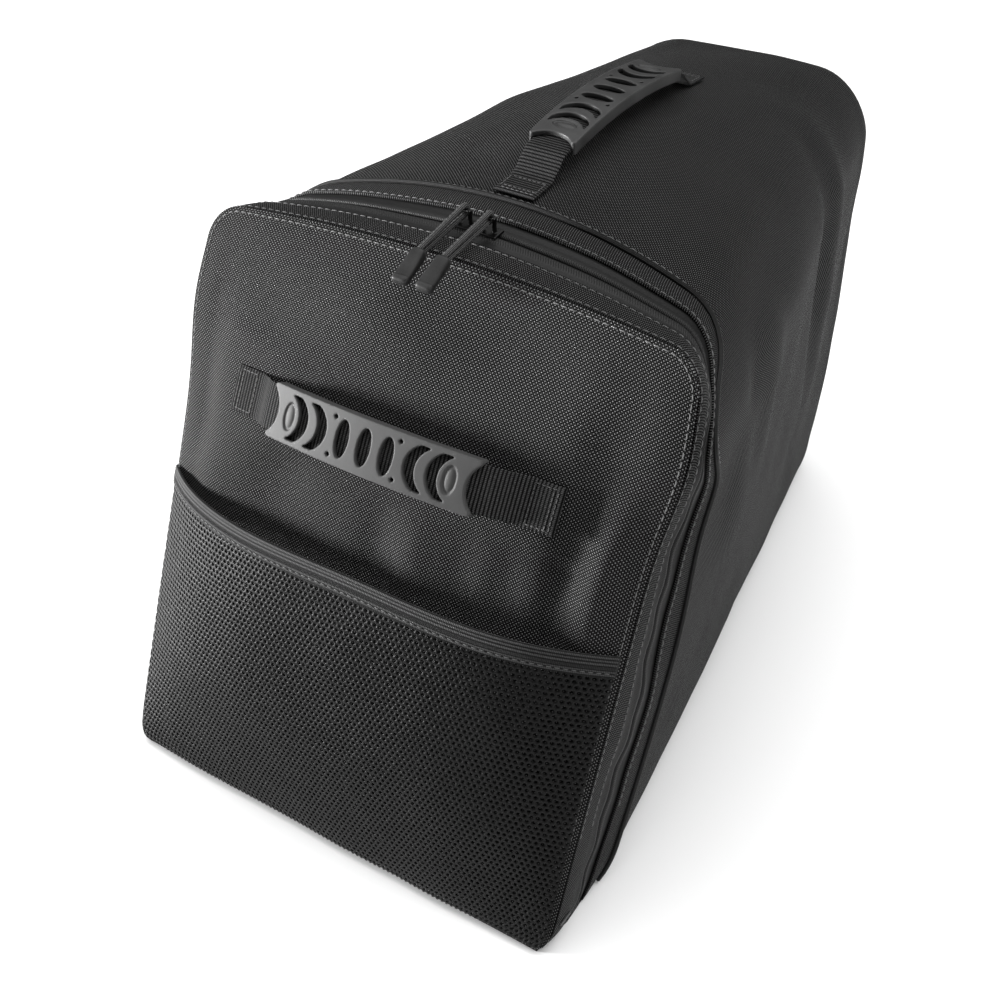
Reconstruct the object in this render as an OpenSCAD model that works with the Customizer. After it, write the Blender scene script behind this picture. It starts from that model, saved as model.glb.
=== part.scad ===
// Soft shoe bag, wide at the front and narrow at the back.
// The whole front is a door on a zip that runs over the top and down both sides.
// Millimetres, +Z up, door towards -Y, origin at the middle of the bottom panel.

/* [Bag] */
// Width across the front
front_w = 292; // [240:1:340]
// Height of the front top corners
front_h = 311; // [260:1:340]
// Length of the bottom, front to back
base_l = 515; // [420:1:540]
// Width across the back
rear_w = 177; // [140:1:240]
// Backward lean of the front door, degrees
lean = 21; // [8:1:22]
// Radius of the rounded back edges
rear_r = 36; // [20:1:44]
// Radius of the door's top corners
corner_r = 18; // [14:1:34]
// Thickness of the lined cloth
wall = 2.2; // [1.6:0.1:3]

/* [Zip] */
// Width of the cloth strip round the door
door_strip_w = 16; // [14:1:18]
// Middle of the zip behind the front
zip_u = 28; // [26:0.5:30]
// Cloth strip on the bag side starts here
body_strip_u = 40; // [37:1:43]
// Piped seam behind the front
piping_u = 57; // [54:1:66]
// How far each slider travels from the middle
slider_run = 45; // [30:1:45]

/* [Front] */
// How far the middle of the door bulges out
door_bulge = 23; // [0:1:26]
// Height of the top of the mesh
pocket_h = 159; // [100:1:180]
// How far the mesh pocket stands open
pocket_gap = 19; // [8:1:22]
// Height of the front handle
handle_z = 229; // [200:1:240]

/* [Handles] */
// Webbing width
web_w = 25; // [20:1:30]
// Webbing thickness
web_t = 1.8; // [1.2:0.1:2.4]
// Sewn end to sewn end
handle_l = 203; // [180:1:220]
// Length of the moulded grip
grip_l = 129; // [110:1:130]
// Height of the webbing at mid handle
handle_rise = 16.5; // [16:0.5:26]

/* [Hidden] */
$fn = 48;

half_w = front_w / 2;
floor_t = 2.4;
mid_y = base_l / 2;
side_n = 9;
arc_n = 7;
top_n = 14;
end_w = rear_w / 2;
tape_in = 1.7;
tape_t = 0.8;
coil_t = 1.8;
zip_gap = 0.7;
arc_r = 340;
sink = 14;
front_crown = 9;
crown_rise = 20;
slider_x = 7.2;
top_t = 0.35;
top_tilt = 0.7;

function mix(a, b, t) = a + (b - a) * t;

// Half width, corner height, crown, corner radius and side bulge near the front
function strip_w(u) = half_w + 0.03 * u;
function strip_h(u) = front_h - sink * u / piping_u;
function strip_c(u) = front_crown + crown_rise * u / piping_u;
function strip_r(u) = corner_r + 22 * u / piping_u;
function strip_b(u) = 4 * u / piping_u;

// The same five, from the piped seam to the back
function main_w(t) = mix(strip_w(piping_u), end_w, t);
function main_h(t) = mix(strip_h(piping_u), front_h + 2, t);
function main_c(t) = mix(strip_c(piping_u), 4, t) + 11 * sin(180 * t);
function main_r(t) = mix(strip_r(piping_u), 41, t);
function main_b(t) = 4 + 5 * sin(180 * t);

// Crown the top, bulge the sides and tuck in the bottom edge
function puff(x, z, w, h, c, b) =
  let (k = max(0, 1 - z / 26))
  let (f = 1 - pow(x / w, 2))
  let (s = (b * sin(180 * min(1, z / h)) - (2 + 0.8 * b) * k * k) / w)
  [x * (1 + s), z + c * f * pow(z / h, 3)];

// Arch from the bottom left, over the top, to the bottom right
function arch(w, h, c, r, b, d) = [
  for (k = [0 : side_n])
    puff(-(w - d), mix(floor_t + 0.3, h - r, k / side_n), w, h, c, b),
  for (k = [1 : arc_n])
    let (a = 90 * k / arc_n)
    puff(-(w - r) - (r - d) * cos(a), h - r + (r - d) * sin(a), w, h, c, b),
  for (k = [1 : top_n])
    puff(mix(-(w - r), w - r, k / top_n), h - d, w, h, c, b),
  for (k = [1 : arc_n])
    let (a = 90 - 90 * k / arc_n)
    puff(w - r + (r - d) * cos(a), h - r + (r - d) * sin(a), w, h, c, b),
  for (k = [1 : side_n])
    puff(w - d, mix(h - r, floor_t + 0.3, k / side_n), w, h, c, b)
];

function strip_arch(u, d) = arch(strip_w(u), strip_h(u), strip_c(u), strip_r(u), strip_b(u), d);

function strip_row(u, d) = [
  for (p = strip_arch(u, d)) [p[0], p[1] * tan(lean) + u - mid_y, p[1]]
];

function main_row(t, d) = [
  for (p = arch(main_w(t), main_h(t), main_c(t), main_r(t), main_b(t), d))
    [p[0], mix(p[1] * tan(lean) + piping_u, base_l - rear_r, t) - mid_y, p[1]]
];

function end_arch(a, d) =
  let (q = rear_r * (1 - cos(a)))
  arch(main_w(1) - q, main_h(1) - q, main_c(1), main_r(1) - q, main_b(1), d * cos(a));

function end_row(a, d) = [
  for (p = end_arch(a, d)) [p[0], mid_y - rear_r + (rear_r - d) * sin(a), p[1]]
];

// A point on the leaning front: x across, z up, n out from the flat front plane
function front_pt(x, z, n) = [x, z * tan(lean) - n * cos(lean) - mid_y, z + n * sin(lean)];

function bulge(x, z) =
  door_bulge * max(0, 1 - pow(abs(x / half_w), 4))
  * max(0, 1 - pow(abs(2 * z / front_h - 1), 2.5));

// Half width of the front outline at height z
function outline(z) =
  let (q = max(0, z - (front_h - corner_r)))
  half_w - corner_r + sqrt(max(0, corner_r * corner_r - q * q));

function panel_row(z, n) = [
  for (j = [-12 : 12])
    let (x = outline(z) * sin(90 * j / 12))
    let (p = puff(x, z, half_w, front_h, strip_c(0), 0))
    front_pt(p[0], p[1], bulge(x, z) + n)
];

// Mesh surface in front of the door
function pocket_out(x, z) =
  bulge(x, z) + wall + 0.5
  + pocket_gap * max(0, 1 - pow(abs(x / (half_w - 2)), 2.4)) * pow(min(1, z / pocket_h), 0.8);

function pocket_row(z, n) = [
  for (j = [-12 : 12])
    let (x = (half_w - 2) * sin(90 * j / 12))
    let (p = puff(x, z, half_w, front_h, 0, 0))
    front_pt(p[0], p[1], pocket_out(x, z) + n)
];

// Closed skin between two grids of points
module skin(outer, inner) {
  m = len(outer);
  n = len(outer[0]);
  o = m * n;
  pts = concat([for (r = outer) each r], [for (r = inner) each r]);
  quads = concat(
    [for (i = [0 : m - 2], j = [0 : n - 2])
      [i * n + j, (i + 1) * n + j, (i + 1) * n + j + 1, i * n + j + 1]],
    [for (i = [0 : m - 2], j = [0 : n - 2])
      [o + i * n + j, o + i * n + j + 1, o + (i + 1) * n + j + 1, o + (i + 1) * n + j]],
    [for (j = [0 : n - 2]) [j, j + 1, o + j + 1, o + j]],
    [for (j = [0 : n - 2])
      [o - n + j, 2 * o - n + j, 2 * o - n + j + 1, o - n + j + 1]],
    [for (i = [0 : m - 2]) [i * n, o + i * n, o + (i + 1) * n, (i + 1) * n]],
    [for (i = [0 : m - 2])
      [i * n + n - 1, (i + 1) * n + n - 1, o + (i + 1) * n + n - 1, o + i * n + n - 1]]
  );
  tris = [for (q = quads) each [[q[0], q[1], q[2]], [q[0], q[2], q[3]]]];
  polyhedron(points = pts, faces = tris);
}

// Band of cloth round the arch between two depths
module band(u0, u1, d0, d1, steps) {
  us = [for (k = [0 : steps]) mix(u0, u1, k / steps)];
  skin([for (u = us) strip_row(u, d0)], [for (u = us) strip_row(u, d1)]);
}

// Top and sides in one piece, wrapped round the back edges
module body_shell() {
  ts = [0, 0.1, 0.22, 0.36, 0.5, 0.64, 0.78, 0.9];
  as = [0, 15, 30, 45, 60, 75, 90];
  t0 = 0.012;
  color("dimgray")
  skin(
    concat([for (t = ts) main_row(max(t, t0), 0)], [for (a = as) end_row(a, 0)]),
    concat([for (t = ts) main_row(max(t, t0), wall)], [for (a = as) end_row(a, wall)])
  );
}

module rear_panel() {
  ring = end_arch(90, 0);
  color("dimgray")
  translate([0, mid_y - 0.1, 0])
  rotate([90, 0, 0])
  linear_extrude(wall - 0.2)
  offset(delta = -0.3)
  polygon(ring);
}

// Flat base, reaching the front edge and the back
module bottom_panel() {
  us = [2, 20, 40, piping_u];
  side = concat(
    [for (u = us) [strip_w(u) - 5.5, u - mid_y]],
    [for (t = [0.15 : 0.15 : 0.9])
      [main_w(t) - 9.5, mix(piping_u, base_l - rear_r, t) - mid_y]],
    [for (a = [0 : 15 : 90])
      [main_w(1) - 5.5 - rear_r * (1 - cos(a)), mid_y - rear_r + rear_r * sin(a)]]
  );
  left = [for (k = [len(side) - 1 : -1 : 0]) [-side[k][0], side[k][1]]];
  color("dimgray")
  linear_extrude(floor_t)
  polygon(concat(side, left));
}

module body_strip() {
  color("dimgray")
  band(body_strip_u, piping_u - 1.8, 0, 1.5, 2);
}

module body_zip_tape() {
  color("black")
  band(zip_u + zip_gap, body_strip_u + 7, tape_in, tape_in + tape_t, 2);
}

module body_zip_coil() {
  d = tape_in + tape_t + 0.1;
  color("black")
  band(zip_u + zip_gap, zip_u + zip_gap + 2.4, d, d + coil_t, 1);
}

// Round tube along a path that lies in a plane square to the direction given
module tube(path, square_to, r, sides) {
  n = len(path);
  rings = [
    for (k = [0 : n - 1])
      let (t = path[min(k + 1, n - 1)] - path[max(k - 1, 0)])
      let (c = cross(t, square_to))
      let (e = c / norm(c))
      let (f = cross(e, t) / norm(t))
      [for (q = [0 : sides - 1])
        path[k] + r * (e * cos(360 * q / sides) + f * sin(360 * q / sides))]
  ];
  walls = [
    for (k = [0 : n - 2], q = [0 : sides - 1])
      let (q2 = (q + 1) % sides)
      each [
        [k * sides + q, (k + 1) * sides + q2, (k + 1) * sides + q],
        [k * sides + q, k * sides + q2, (k + 1) * sides + q2]
      ]
  ];
  caps = [
    [for (q = [sides - 1 : -1 : 0]) q],
    [for (q = [0 : sides - 1]) (n - 1) * sides + q]
  ];
  polyhedron(points = [for (ring = rings) each ring], faces = concat(walls, caps));
}

// Piped seam: round cord following the arch
module body_piping() {
  color("black")
  tube(strip_row(piping_u, 0.6), [0, 1, 0], 1.4, 8);
}

// Tape bound over the raw seam edge inside the bag
module body_binding() {
  rise = 230;
  w = strip_w(piping_u) - wall - 2.5;
  color("black")
  multmatrix([[1, 0, 0, 0], [0, 1, tan(lean), 0], [0, 0, 1, 0]])
  translate([w - 3.2, piping_u - mid_y + 2, floor_t + 22])
  cube([3, 8, rise]);
}

module left_body_binding() {
  mirror([1, 0, 0]) body_binding();
}

module right_body_binding() {
  body_binding();
}

// Door cloth
module front_panel() {
  zs = [for (k = [0 : 14]) mix(floor_t + 0.3, front_h - corner_r, k / 14)];
  ze = [for (a = [18 : 18 : 90]) front_h - corner_r + corner_r * sin(a)];
  rows = concat(zs, ze);
  color("gray")
  skin([for (z = rows) panel_row(z, wall)], [for (z = rows) panel_row(z, 0.1)]);
}

module door_strip() {
  color("gray")
  band(0, door_strip_w, 0, 1.5, 2);
}

module door_zip_tape() {
  color("black")
  band(door_strip_w - 7, zip_u - zip_gap, tape_in, tape_in + tape_t, 2);
}

module door_zip_coil() {
  d = tape_in + tape_t + 0.1;
  color("black")
  band(zip_u - zip_gap - 2.4, zip_u - zip_gap, d, d + coil_t, 1);
}

// Mesh, standing away from the door at the top
module mesh_pocket() {
  zs = [for (k = [0 : 9]) mix(5, pocket_h, k / 9)];
  color("black")
  skin([for (z = zs) pocket_row(z, 1)], [for (z = zs) pocket_row(z, 0)]);
}

module pocket_binding() {
  zs = [pocket_h + 0.3, pocket_h + 5, pocket_h + 10];
  color("black")
  skin([for (z = zs) pocket_row(z, 2.6)], [for (z = zs) pocket_row(z, 0)]);
}

// Underside of the handle webbing: x along it, result is the height
function web_low(x, flat, drop, p) =
  let (a = abs(x))
  let (foot = 0.5 - drop * pow(a / 100, p))
  let (top = handle_rise - web_t / 2 - arc_r + sqrt(arc_r * arc_r - a * a))
  let (k = max(0, min(1, (a - 67) / (flat - 67))))
  mix(top, foot, k * k * (3 - 2 * k));

module webbing(drop, p) {
  half = handle_l / 2;
  flat = half - 17;
  xs = [
    for (k = [0 : 3]) mix(-half, -flat, k / 3),
    for (k = [1 : 9]) mix(-flat, -67, k / 9),
    for (k = [1 : 17]) mix(-67, 67, k / 18),
    for (k = [0 : 9]) mix(67, flat, k / 9),
    for (k = [1 : 3]) mix(flat, half, k / 3)
  ];
  low = [for (x = xs) [x, web_low(x, flat, drop, p)]];
  high = [for (k = [len(xs) - 1 : -1 : 0]) [low[k][0], low[k][1] + web_t]];
  rotate([90, 0, 0])
  linear_extrude(web_w, center = true)
  polygon(concat(low, high));
}

// Crescent-shaped opening: its round side is at x and faces the middle of the grip
module crescent(x) {
  r = 13;
  intersection() {
    difference() {
      translate([x + r, 0]) circle(r = r);
      translate([x + r + 6.2, 0]) circle(r = r);
    }
    translate([x + r, 0]) square([r * 3, r * 1.8], center = true);
  }
}

// Outline with fishtail ends and rounded corners
module grip_outline() {
  offset(r = 1.6)
  offset(delta = -1.6)
  difference() {
    square([grip_l, web_w + 4], center = true);
    for (s = [-1, 1]) translate([s * (grip_l / 2 + 9), 0]) circle(d = 32);
  }
}

module grip_openings() {
  for (x = [-13.5, 0, 13.5]) {
    translate([x, 0]) scale([0.4, 1]) circle(d = 20);
  }
  for (x = [-19.8, 19.8], y = [-9.9, 9.9]) {
    translate([x, y]) rotate(45) square(2.1, center = true);
  }
  for (s = [0, 1]) mirror([s, 0]) {
    crescent(23.7);
    crescent(36.3);
  }
}

// Curved wall about the handle's arc
module arc_wall(r0, r1, w) {
  translate([0, 0, handle_rise - arc_r])
  rotate([90, 0, 0])
  difference() {
    cylinder(r = r1, h = w, center = true, $fn = 240);
    cylinder(r = r0, h = w + 2, center = true, $fn = 240);
  }
}

// Moulded grip threaded on the webbing
module grip() {
  inner = arc_r + web_t / 2 + 0.4;
  low = arc_r - web_t / 2 - 2.2;
  lip = web_w / 2 + 0.4;
  wide = web_w + 4;
  dimple_x = 49;
  difference() {
    union() {
      intersection() {
        arc_wall(inner, inner + 2.8, wide);
        linear_extrude(60) difference() {
          grip_outline();
          grip_openings();
        }
      }
      intersection() {
        arc_wall(low, inner + 0.1, wide);
        linear_extrude(60) difference() {
          grip_outline();
          square([grip_l, lip * 2], center = true);
        }
      }
      intersection() {
        arc_wall(low, low + 1.7, wide);
        linear_extrude(60)
        for (s = [-1, 1]) translate([s * 47, 0]) square([8, wide], center = true);
      }
    }
    for (s = [-1, 1]) {
      translate([s * dimple_x, 0, handle_rise + 3.2 - dimple_x * dimple_x / 2 / arc_r])
      rotate([0, s * asin(dimple_x / arc_r), 0])
      linear_extrude(4) scale([0.5, 1]) circle(d = 15);
    }
  }
}

// Carry a handle to its place on the door
module on_door() {
  n = bulge(0, handle_z) + wall;
  p = front_pt(0, handle_z, n);
  translate([0, p[1], p[2]])
  rotate([90 - lean - 6.6, 0, 0])
  children();
}

// Carry a handle to its place on the top
module on_top() {
  t = top_t;
  z = main_h(t) + main_c(t);
  y = mix(z * tan(lean) + piping_u, base_l - rear_r, t) - mid_y;
  translate([0, y, z])
  rotate([top_tilt, 0, 0])
  rotate([0, 0, 90])
  children();
}

module top_handle_webbing() {
  color("black") on_top() webbing(4.6, 2);
}

module top_handle_grip() {
  color("dimgray") on_top() grip();
}

module front_handle_webbing() {
  color("black") on_door() webbing(4.3, 4);
}

module front_handle_grip() {
  color("dimgray") on_door() grip();
}

// Thread block that closes each lower end of the zip
module bartack() {
  u = 5;
  z = 16;
  w = strip_w(u);
  x = puff(w, z, w, strip_h(u), 0, strip_b(u))[0];
  color("silver")
  translate([x + 0.4, u + z * tan(lean) - mid_y, z])
  rotate([0, 0, -1.7])
  cube([0.8, 10, 2.4]);
}

module left_bartack() {
  mirror([1, 0, 0]) bartack();
}

module right_bartack() {
  bartack();
}

// Height of the outside of the arch over the zip, on the centre line
zip_z = strip_h(zip_u) + strip_c(zip_u);
zip_y = zip_z * tan(lean) + zip_u - mid_y;
tape_top = -tape_in;
pitch = atan((crown_rise - sink) / piping_u);
run_tilt = atan(strip_c(zip_u) * (2 * slider_x + slider_run) / pow(strip_w(zip_u), 2));

// Local frame of the slider on the left; z = 0 is the outside of the cloth
module at_slider() {
  drop = strip_c(zip_u) * pow(slider_x / strip_w(zip_u), 2);
  translate([-slider_x, zip_y, zip_z - drop])
  rotate([0, -run_tilt * 0.5, 0])
  rotate([pitch, 0, 0])
  children();
}

bail_z = 8.5;

// Shear that follows the leaning gap between the two tapes
module gap_lean() {
  multmatrix([[1, 0, 0, 0], [0, 1, tan(lean + pitch), 0], [0, 0, 1, 0]])
  children();
}

module slider() {
  plate_z = tape_top + 1.3;
  low_z = tape_top - tape_t - coil_t - 1.1;
  color("dimgray")
  at_slider() {
    translate([-6.4, -4.4, plate_z]) cube([12.8, 8.8, 1.5]);
    translate([-5.4, -4.2, low_z - 1.2]) cube([10.8, 5.6, 1.2]);
    gap_lean()
    translate([1, -0.2, low_z - 0.1]) cube([3.4, 0.4, plate_z - low_z + 0.2]);
    for (s = [-1, 1]) {
      translate([s * 3.3 - 0.8, -1.1, plate_z + 1.4]) cube([1.6, 2.2, bail_z - plate_z - 0.5]);
    }
    translate([0, 0, bail_z]) rotate([0, 90, 0]) cylinder(d = 1.8, h = 8.2, center = true);
  }
}

// Cord loop over the bail, running forward and down to the tip
pull_tilt = 3;
tip_tilt = 14;
cord_l = 40;

module at_pull() {
  at_slider()
  translate([0, 0, bail_z])
  rotate([pull_tilt, 0, 0])
  children();
}

module pull_cord() {
  bend = 2.5;
  end = 1.6;
  path = concat(
    [for (k = [0 : 3]) [0, -cord_l * (1 - k / 4), -mix(end, bend, k / 4)]],
    [for (a = [-90 : 15 : 90]) [0, bend * cos(a), bend * sin(a)]],
    [for (k = [1 : 4]) [0, -cord_l * k / 4, mix(bend, end, k / 4)]]
  );
  color("black")
  at_pull() tube(path, [1, 0, 0], 1.5, 12);
}

// Flat moulded tip, wider at the free end
module pull_tip() {
  color("black")
  at_pull()
  translate([0, -cord_l - 1, 0])
  rotate([90 + tip_tilt, 0, 0])
  hull() {
    linear_extrude(0.5) square([8, 6.6], center = true);
    translate([0, -0.4, 14]) linear_extrude(0.5) square([9.4, 5], center = true);
    translate([0, -0.6, 20]) linear_extrude(0.5) square([8.4, 3.4], center = true);
  }
}

module left_slider() {
  slider();
}

module right_slider() {
  mirror([1, 0, 0]) slider();
}

module left_pull_cord() {
  pull_cord();
}

module right_pull_cord() {
  mirror([1, 0, 0]) pull_cord();
}

module left_pull_tip() {
  pull_tip();
}

module right_pull_tip() {
  mirror([1, 0, 0]) pull_tip();
}

body_shell();
rear_panel();
bottom_panel();
body_strip();
body_zip_tape();
body_zip_coil();
body_piping();
left_body_binding();
right_body_binding();
top_handle_webbing();
top_handle_grip();
front_panel();
door_strip();
door_zip_tape();
door_zip_coil();
mesh_pocket();
pocket_binding();
front_handle_webbing();
front_handle_grip();
left_bartack();
right_bartack();
left_slider();
right_slider();
left_pull_cord();
right_pull_cord();
left_pull_tip();
right_pull_tip();
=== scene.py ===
"""Soft shoe bag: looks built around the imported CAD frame.

Sizes are in millimetres until a mesh is made."""
import math

import bmesh
import bpy
import numpy as np
from mathutils import Matrix, Vector, noise


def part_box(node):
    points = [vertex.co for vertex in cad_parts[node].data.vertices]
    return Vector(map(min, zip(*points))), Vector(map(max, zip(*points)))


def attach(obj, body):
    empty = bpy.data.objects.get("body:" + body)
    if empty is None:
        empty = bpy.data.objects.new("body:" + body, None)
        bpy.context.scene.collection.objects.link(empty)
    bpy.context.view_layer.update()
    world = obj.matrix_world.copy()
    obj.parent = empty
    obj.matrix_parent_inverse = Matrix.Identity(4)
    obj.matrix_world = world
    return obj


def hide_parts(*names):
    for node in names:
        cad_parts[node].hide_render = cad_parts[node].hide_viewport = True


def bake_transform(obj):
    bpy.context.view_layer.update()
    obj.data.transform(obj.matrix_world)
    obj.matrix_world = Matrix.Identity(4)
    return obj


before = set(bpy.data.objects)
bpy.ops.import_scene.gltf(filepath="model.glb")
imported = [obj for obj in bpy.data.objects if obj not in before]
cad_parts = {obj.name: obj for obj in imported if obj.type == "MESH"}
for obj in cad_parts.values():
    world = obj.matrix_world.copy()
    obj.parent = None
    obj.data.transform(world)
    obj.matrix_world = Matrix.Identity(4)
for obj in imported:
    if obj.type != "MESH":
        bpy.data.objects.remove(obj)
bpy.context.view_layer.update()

MM = 0.001

# ---------------------------------------------------------------- sizes shared with the CAD model
FRONT_W, FRONT_H = 292.0, 311.0
BASE_L, REAR_W, REAR_R = 515.0, 177.0, 36.0
LEAN = math.radians(21)
CORNER_R = 18.0
WALL = 2.2
# Depth behind the front edge: end of the door strip, zip, start of the body strip, piping
STRIP_W, ZIP_U, BODY_STRIP_U, PIPING_U = 16.0, 28.0, 40.0, 57.0
BULGE = 23.0  # how far the middle of the front stands out
POCKET_H, POCKET_GAP = 159.0, 19.0
HANDLE_Z, HANDLE_L, HANDLE_RISE, ARC_R = 229.0, 203.0, 16.5, 340.0
WEB_W, WEB_T = 25.0, 1.8
# From the front edge to the piping: drop of the top, growth of its crown and corner radius
SINK, CROWN, CROWN_RISE, CORNER_GAIN = 14.0, 9.0, 20.0, 22.0
SPREAD = 0.03  # growth of the half width per mm of depth
# Place of the top handle as a share of the body's length, and the tilt of both handles
TOP_T, TOP_TILT, DOOR_TILT = 0.35, math.radians(0.7), math.radians(6.6)
SLIDER_X, BAIL_Z, CORD_L = 7.2, 8.5, 40.0
PULL_TILT, TIP_TILT = math.radians(3), math.radians(14)
TAPE_IN = 1.7  # the zip tape lies this far under the strips
FLOOR_Z = 2.7  # lower edge of the side and front cloth
FOOT_Z, FOOT_IN = 26.0, 2.0  # below FOOT_Z the sides tuck in, by FOOT_IN at the floor
TOE_R = 13.0
HALF_W, MID_Y, END_W = FRONT_W / 2, BASE_L / 2, REAR_W / 2
TL = math.tan(LEAN)
# The zip's top slopes by PITCH, and its crown tilts the sliders by RUN_TILT
PITCH = math.atan((CROWN_RISE - SINK) / PIPING_U)
RUN_TILT = math.radians(2.97)


def mix(a, b, t):
    return a + (b - a) * t


# ---------------------------------------------------------------- shape of the bag
SIDE_N, ARC_N, TOP_N = 46, 12, 64  # points along a side, round a corner and over the top
MAIN_N, END_N = 65, 13  # rings along the body, and round its rear edge
PINCHES = ((33, 268, 25), (11, 212, 45))  # depth, height above the floor, half of its height
FLARE, FLARE_Z, FLARE_SIZE = 0.036, 262, 34
BODY_MID = (0.0, 0.0, 150.0)


def arch(w, h, c, r, b):
    """Cross-section from the bottom left, over the top, to the bottom right.

    w is half the width, h the height, c the crown, r the corner radius and b the bow of the
    sides. It returns x, z and the x and z of the outward normal.
    """
    up = np.linspace(FLOOR_Z, h - r, SIDE_N + 1)
    a = np.radians(np.linspace(0, 90, ARC_N + 1))[1:]
    flat = np.linspace(-(w - r), w - r, TOP_N + 1)[1:]
    x = np.concatenate([np.full(len(up), -w), -(w - r) - r * np.cos(a), flat])
    z = np.concatenate([up, h - r + r * np.sin(a), np.full(len(flat), h)])
    half = len(up) + len(a)
    x = np.concatenate([x, -x[:half][::-1][1:]])
    z = np.concatenate([z, z[:half][::-1][1:]])
    k = np.maximum(0, 1 - z / FOOT_Z)
    s = (b * np.sin(np.pi * np.minimum(1, z / h)) - (FOOT_IN + 0.8 * b) * k * k) / w
    z2 = z + c * (1 - (x / w) ** 2) * (z / h) ** 3
    x2 = x * (1 + s)
    dx, dz = np.gradient(x2), np.gradient(z2)
    n = np.hypot(dx, dz)
    return x2, z2, -dz / n, dx / n


def pinch(u, z):
    """The strips bunch up where the zip turns down from the top into the sides."""
    return -(u / PIPING_U) * sum(d * np.exp(-((z - at) / size) ** 2) for d, at, size in PINCHES)


def flare(z):
    """The upper corners of the front stand out sideways."""
    return 1 + FLARE * np.exp(-((z - FLARE_Z) / FLARE_SIZE) ** 2)


def toe(z, u=0.0):
    """How far the lower corners of the front are rounded in."""
    drop = np.clip(TOE_R - z, 0, TOE_R)
    return (TOE_R - np.sqrt(TOE_R ** 2 - drop * drop)) * max(0, 1 - u / (2 * TOE_R))


def ripple(x, z, u):
    """Slow waves of the zip tapes and strips, strongest down the sides."""
    side = np.clip((np.abs(x) - 110) / 30, 0, 1)
    mid = np.sin(np.pi * np.clip(u / PIPING_U, 0, 1))
    wave = np.sin(z * 0.047 + u * 0.05 + 0.8) + 0.6 * np.sin(z * 0.093 + 2.1 + np.sign(x) * 0.7)
    wave = wave + 0.55 * np.sin(z * 0.21 + u * 0.16) * np.exp(-((u - ZIP_U) / 9) ** 2)
    top = np.sin(x * 0.035 + 0.6) + 0.5 * np.sin(x * 0.081 + u * 0.06)
    return mid * (side * 1.1 * wave + (1 - side) * 0.45 * top)


def strip_shape(u):
    """Half width, height, crown and corner radius at depth u behind the front edge."""
    f = u / PIPING_U
    return (HALF_W + SPREAD * u, FRONT_H - SINK * f,
            CROWN + CROWN_RISE * f, CORNER_R + CORNER_GAIN * f)


def strip_ring(u, lift=0.0):
    """Points round the bag at depth u behind the front edge, lift mm outside the cloth."""
    x, z, nx, nz = arch(*strip_shape(u), 4 * (u / PIPING_U))
    on_side = np.clip((np.abs(x) - 120) / 20, 0, 1)
    y = z * TL + u - MID_Y + pinch(u, z) * on_side
    rise = lift + ripple(x, z, u)
    x = x * flare(z) - np.sign(x) * toe(z, u)
    return np.stack([x + nx * rise, y, z + nz * rise], 1)


def depth_at(z, t):
    """Y at height z, a share t of the way from the piping to the rear edge's round."""
    return mix(z * TL + PIPING_U, BASE_L - REAR_R, t) - MID_Y


def main_shape(t):
    """Half width, height, crown, corner radius and side bow, t of the way to the rear."""
    w, h, c, r = strip_shape(PIPING_U)
    swell = math.sin(math.pi * t)
    return (mix(w, END_W, t), mix(h, FRONT_H + 2, t), mix(c, 4, t) + 11 * swell,
            mix(r, 41, t), 4 + 5 * swell)


def main_ring(t):
    x, z, _, _ = arch(*main_shape(t))
    side = np.clip((np.abs(x) - 90) / 30, 0, 1)
    y = depth_at(z, t) + pinch(PIPING_U, z) * side * (1 - t) ** 6
    return np.stack([x * (1 + (flare(z) - 1) * (1 - t) ** 4), y, z], 1)


def end_ring(deg):
    """A ring round the rear edge, deg from the side towards the rear panel."""
    a = math.radians(deg)
    q = REAR_R * (1 - math.cos(a))
    w, h, c, r, b = main_shape(1)
    x, z, _, _ = arch(w - q, h - q, c, r - q, b)
    return np.stack([x, np.full(len(x), MID_Y - REAR_R + REAR_R * math.sin(a)), z], 1)


def front_pt(x, z, n):
    """A point on the leaning front: n is out from the flat front plane."""
    x, z, n = np.broadcast_arrays(x, z, n)
    return np.stack([x, z * TL - n * math.cos(LEAN) - MID_Y, z + n * math.sin(LEAN)], -1)


def bulge(x, z):
    """How far the filled front stands out from its flat plane."""
    a = np.maximum(0, 1 - np.abs(x / HALF_W) ** 4)
    return BULGE * a * np.maximum(0, 1 - np.abs(2 * z / FRONT_H - 1) ** 2.5)


def crowned(x, z, crown):
    """Height of a front point once the top edge is crowned."""
    return z + crown * (1 - (x / HALF_W) ** 2) * (z / FRONT_H) ** 3


def tuck(x, z):
    """X of a front point once the lower edge is drawn in."""
    k = np.maximum(0, 1 - z / FOOT_Z)
    return x * (1 - FOOT_IN * k * k / HALF_W)


def outline(z):
    """Half the front's width at height z."""
    q = np.maximum(0, z - (FRONT_H - CORNER_R))
    return HALF_W - CORNER_R + np.sqrt(np.maximum(0, CORNER_R ** 2 - q * q)) - toe(z)


def pocket_out(x, z):
    """How far the pocket's mesh stands out from the flat front plane."""
    across = np.maximum(0, 1 - np.abs(x / (HALF_W - 2)) ** 2.4)
    return bulge(x, z) + WALL + 0.5 + POCKET_GAP * across * np.minimum(1, z / POCKET_H) ** 0.8


def smooth_noise(p, size, seed):
    """Deterministic noise at points p, in -1..1, with features about size mm across."""
    o = seed * 17.3
    flat = p.reshape(-1, 3) / size
    v = [noise.noise(Vector((a + o, b - o, c + 2 * o))) for a, b, c in flat]
    return np.array(v).reshape(p.shape[:-1])


def normals_of(p):
    """Unit normals of a grid of points."""
    n = np.cross(np.gradient(p, axis=0), np.gradient(p, axis=1))
    return n / np.maximum(np.linalg.norm(n, axis=-1, keepdims=True), 1e-9)


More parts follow.
